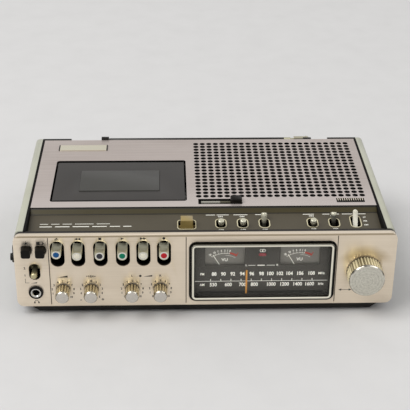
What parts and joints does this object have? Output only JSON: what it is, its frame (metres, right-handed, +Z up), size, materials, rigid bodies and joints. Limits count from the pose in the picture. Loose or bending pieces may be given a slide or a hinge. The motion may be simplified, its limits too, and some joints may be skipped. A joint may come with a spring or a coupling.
{
  "type": "radio cassette recorder",
  "caption": "Low stereo radio cassette recorder with lever keys, fluted knobs, a tuning dial with level meters, a lidded cassette deck, a perforated speaker plate and a rear aerial.",
  "frame": {"origin": "centre of the footprint on the table", "axes": "+X to the right, +Y to the back, +Z up, seen from the control panel"},
  "size_m": [0.372, 0.2394, 0.0933],
  "materials": {
    "champagne_panel": "brushed, pale champagne",
    "lilac_plate": "brushed, grey with a lilac tint",
    "side_paint": "satin grey-green",
    "black_plastic": "fine grain",
    "strip_plastic": "dark grey with an olive edge",
    "smoked_lid": "smoked, low gloss",
    "smoked_window": "smoked",
    "steel": "plain steel",
    "flywheel_metal": "turned",
    "rubber": "matt",
    "key_metal": "satin",
    "gold_knob": "anodised gold flutes, spun silver cap",
    "tuning_metal": "fluted, spun cap",
    "chrome": "polished",
    "ivory": "satin ivory",
    "olive": "satin olive",
    "clear": "clear pane",
    "scale_print": "dark scale with pale printing",
    "meter_face": "dark grey",
    "pointer": "orange",
    "needle": "white",
    "board": "brown laminate",
    "pale_plastic": "moulded"
  },
  "bodies": {
    "case": {"bottom_case": "black_plastic", "feet": "rubber", "rear_panel": "black_plastic", "left_side_panel": "side_paint", "right_side_panel": "side_paint", "front_frame": "black_plastic", "front_panel": "champagne_panel", "control_strip": "strip_plastic", "top_case": "black_plastic", "top_plate": "lilac_plate", "deck_plate": "steel", "motor": "steel", "drive_belt": "rubber", "key_shaft": "steel", "potentiometers": "steel", "dial_frame": "ivory", "dial_glass": "clear", "dial_plate": "scale_print", "vu_meters": "meter_face", "headphone_jack": "chrome", "mic_jacks": "black_plastic", "speaker": "black_plastic", "main_board": "board"},
    "cassette_lid": {"cassette_lid": "smoked_lid", "lid_window": "smoked_window"},
    "eject_key": {"eject_key": "key_metal"},
    "rewind_key": {"rewind_key": "key_metal"},
    "stop_key": {"stop_key": "key_metal"},
    "play_key": {"play_key": "key_metal"},
    "forward_key": {"forward_key": "key_metal"},
    "record_key": {"record_key": "key_metal"},
    "head_plate": {"head_plate": "steel"},
    "pinch_roller": {"pinch_roller": "rubber"},
    "supply_spindle": {"supply_spindle": "pale_plastic"},
    "takeup_spindle": {"takeup_spindle": "pale_plastic"},
    "capstan": {"capstan": "flywheel_metal"},
    "speaker_volume_knob": {"speaker_volume_knob": "gold_knob"},
    "tone_knob": {"tone_knob": "gold_knob"},
    "record_left_knob": {"record_left_knob": "gold_knob"},
    "record_right_knob": {"record_right_knob": "gold_knob"},
    "tuning_knob": {"tuning_knob": "tuning_metal"},
    "dial_pointer": {"dial_pointer": "pointer"},
    "dial_drum": {"dial_drum": "pale_plastic"},
    "left_needle": {"left_needle": "needle"},
    "right_needle": {"right_needle": "needle"},
    "light_button": {"light_button": "black_plastic"},
    "battery_button": {"battery_button": "black_plastic"},
    "level_switch": {"level_switch": "chrome"},
    "pause_key": {"pause_key": "olive"},
    "tape_switch": {"tape_switch": "chrome"},
    "record_mode_switch": {"record_mode_switch": "chrome"},
    "noise_switch": {"noise_switch": "chrome"},
    "sleep_switch": {"sleep_switch": "chrome"},
    "afc_switch": {"afc_switch": "chrome"},
    "band_switch": {"band_switch": "ivory"},
    "monitor_slider": {"monitor_slider": "black_plastic"},
    "battery_cover": {"battery_cover": "black_plastic"},
    "aerial_base": {"aerial_base": "steel"},
    "aerial_tube": {"aerial_tube": "chrome"},
    "aerial_rod": {"aerial_rod": "chrome"}
  },
  "joints": [
    {"name": "lid_hinge", "type": "hinge", "parent": "case", "child": "cassette_lid", "pos_m": [-0.08245, 0.0531, 0.0852], "axis": [-1, 0, 0], "range_deg": [0, 75]},
    {"name": "eject_key_press", "type": "hinge", "parent": "case", "child": "eject_key", "pos_m": [-0.13855, -0.0767, 0.072], "axis": [1, 0, 0], "range_deg": [0, 12], "stiffness_Nm_per_rad": 0.3},
    {"name": "rewind_key_press", "type": "hinge", "parent": "case", "child": "rewind_key", "pos_m": [-0.11895, -0.0767, 0.072], "axis": [1, 0, 0], "range_deg": [0, 12], "stiffness_Nm_per_rad": 0.3},
    {"name": "stop_key_press", "type": "hinge", "parent": "case", "child": "stop_key", "pos_m": [-0.09765, -0.0767, 0.072], "axis": [1, 0, 0], "range_deg": [0, 12], "stiffness_Nm_per_rad": 0.3},
    {"name": "play_key_press", "type": "hinge", "parent": "case", "child": "play_key", "pos_m": [-0.07635, -0.0767, 0.072], "axis": [1, 0, 0], "range_deg": [0, 12], "stiffness_Nm_per_rad": 0.3},
    {"name": "forward_key_press", "type": "hinge", "parent": "case", "child": "forward_key", "pos_m": [-0.05675, -0.0767, 0.072], "axis": [1, 0, 0], "range_deg": [0, 12], "stiffness_Nm_per_rad": 0.3},
    {"name": "record_key_press", "type": "hinge", "parent": "case", "child": "record_key", "pos_m": [-0.03715, -0.0767, 0.072], "axis": [1, 0, 0], "range_deg": [0, 12], "stiffness_Nm_per_rad": 0.3},
    {"name": "head_plate_slide", "type": "slide", "parent": "case", "child": "head_plate", "axis": [0, 1, 0], "range_m": [0, 0.0045]},
    {"name": "pinch_roller_spin", "type": "hinge", "parent": "head_plate", "child": "pinch_roller", "pos_m": [-0.04945, -0.0201, 0.073], "axis": [0, 0, 1], "continuous": true},
    {"name": "supply_spindle_spin", "type": "hinge", "parent": "case", "child": "supply_spindle", "pos_m": [-0.1037, 0.0173, 0.068], "axis": [0, 0, 1], "continuous": true},
    {"name": "takeup_spindle_spin", "type": "hinge", "parent": "case", "child": "takeup_spindle", "pos_m": [-0.0612, 0.0173, 0.068], "axis": [0, 0, 1], "continuous": true},
    {"name": "capstan_spin", "type": "hinge", "parent": "case", "child": "capstan", "pos_m": [-0.04945, -0.00805, 0.068], "axis": [0, 0, 1], "continuous": true},
    {"name": "speaker_volume_knob_turn", "type": "hinge", "parent": "case", "child": "speaker_volume_knob", "pos_m": [-0.13495, -0.1027, 0.0287], "axis": [0, 1, 0], "range_deg": [-150, 150]},
    {"name": "tone_knob_turn", "type": "hinge", "parent": "case", "child": "tone_knob", "pos_m": [-0.10765, -0.1027, 0.0287], "axis": [0, 1, 0], "range_deg": [-150, 150]},
    {"name": "record_left_knob_turn", "type": "hinge", "parent": "case", "child": "record_left_knob", "pos_m": [-0.06825, -0.1027, 0.0287], "axis": [0, 1, 0], "range_deg": [-150, 150]},
    {"name": "record_right_knob_turn", "type": "hinge", "parent": "case", "child": "record_right_knob", "pos_m": [-0.04095, -0.1027, 0.0287], "axis": [0, 1, 0], "range_deg": [-150, 150]},
    {"name": "tuning_knob_turn", "type": "hinge", "parent": "case", "child": "tuning_knob", "pos_m": [0.15675, -0.1027, 0.0459], "axis": [0, 1, 0], "range_deg": [-523.8, 1039.5]},
    {"name": "dial_pointer_slide", "type": "slide", "parent": "case", "child": "dial_pointer", "axis": [1, 0, 0], "range_m": [-0.0325, 0.064]},
    {"name": "dial_drum_turn", "type": "hinge", "parent": "case", "child": "dial_drum", "pos_m": [0.10875, -0.0761, 0.0459], "axis": [0, 1, 0], "range_deg": [-67, 132]},
    {"name": "left_needle_swing", "type": "hinge", "parent": "case", "child": "left_needle", "pos_m": [0.02165, -0.0916, 0.0397], "axis": [0, 1, 0], "range_deg": [0, 60], "stiffness_Nm_per_rad": 0.0001},
    {"name": "right_needle_swing", "type": "hinge", "parent": "case", "child": "right_needle", "pos_m": [0.09465, -0.0916, 0.0397], "axis": [0, 1, 0], "range_deg": [0, 60], "stiffness_Nm_per_rad": 0.0001},
    {"name": "light_button_press", "type": "slide", "parent": "case", "child": "light_button", "axis": [0, 1, 0], "range_m": [0, 0.003], "stiffness_N_per_m": 300},
    {"name": "battery_button_press", "type": "slide", "parent": "case", "child": "battery_button", "axis": [0, 1, 0], "range_m": [0, 0.003], "stiffness_N_per_m": 300},
    {"name": "level_switch_tip", "type": "hinge", "parent": "case", "child": "level_switch", "pos_m": [-0.16125, -0.0917, 0.0493], "axis": [1, 0, 0], "range_deg": [-14, 14]},
    {"name": "pause_key_slide", "type": "slide", "parent": "case", "child": "pause_key", "axis": [0, 1, 0], "range_m": [0, 0.003]},
    {"name": "tape_switch_tip", "type": "hinge", "parent": "case", "child": "tape_switch", "pos_m": [0.0185, -0.0682, 0.0706], "axis": [1, 0, 0], "range_deg": [-42, 0]},
    {"name": "record_mode_switch_tip", "type": "hinge", "parent": "case", "child": "record_mode_switch", "pos_m": [0.0398, -0.0682, 0.0706], "axis": [1, 0, 0], "range_deg": [-42, 0]},
    {"name": "noise_switch_tip", "type": "hinge", "parent": "case", "child": "noise_switch", "pos_m": [0.0611, -0.0682, 0.0706], "axis": [1, 0, 0], "range_deg": [0, 42]},
    {"name": "sleep_switch_tip", "type": "hinge", "parent": "case", "child": "sleep_switch", "pos_m": [0.1084, -0.0682, 0.0706], "axis": [1, 0, 0], "range_deg": [-42, 0]},
    {"name": "afc_switch_tip", "type": "hinge", "parent": "case", "child": "afc_switch", "pos_m": [0.1297, -0.0682, 0.0706], "axis": [1, 0, 0], "range_deg": [0, 42]},
    {"name": "band_switch_tip", "type": "hinge", "parent": "case", "child": "band_switch", "pos_m": [0.151, -0.0682, 0.0706], "axis": [1, 0, 0], "range_deg": [0, 42]},
    {"name": "monitor_slider_slide", "type": "slide", "parent": "case", "child": "monitor_slider", "axis": [-1, 0, 0], "range_m": [0, 0.027]},
    {"name": "battery_cover_hinge", "type": "hinge", "parent": "case", "child": "battery_cover", "pos_m": [-0.05525, 0.1113, 0.0189], "axis": [-1, 0, 0], "range_deg": [0, 100]},
    {"name": "aerial_swivel", "type": "hinge", "parent": "case", "child": "aerial_base", "pos_m": [0.12285, 0.1133, 0.0843], "axis": [0, 1, 0], "range_deg": [0, 120]},
    {"name": "aerial_tilt", "type": "hinge", "parent": "aerial_base", "child": "aerial_tube", "pos_m": [0.11185, 0.1168, 0.0843], "axis": [0, 0, -1], "range_deg": [0, 75]},
    {"name": "aerial_extend", "type": "slide", "parent": "aerial_tube", "child": "aerial_rod", "axis": [-1, 0, 0], "range_m": [0, 0.185]}
  ],
  "couplings": [
    {"joint": "head_plate_slide", "follows": "play_key_press", "m_per_rad": 0.021443},
    {"joint": "dial_pointer_slide", "follows": "tuning_knob_turn", "m_per_rad": 0.0035},
    {"joint": "dial_drum_turn", "follows": "tuning_knob_turn", "ratio": 0.1259}
  ]
}
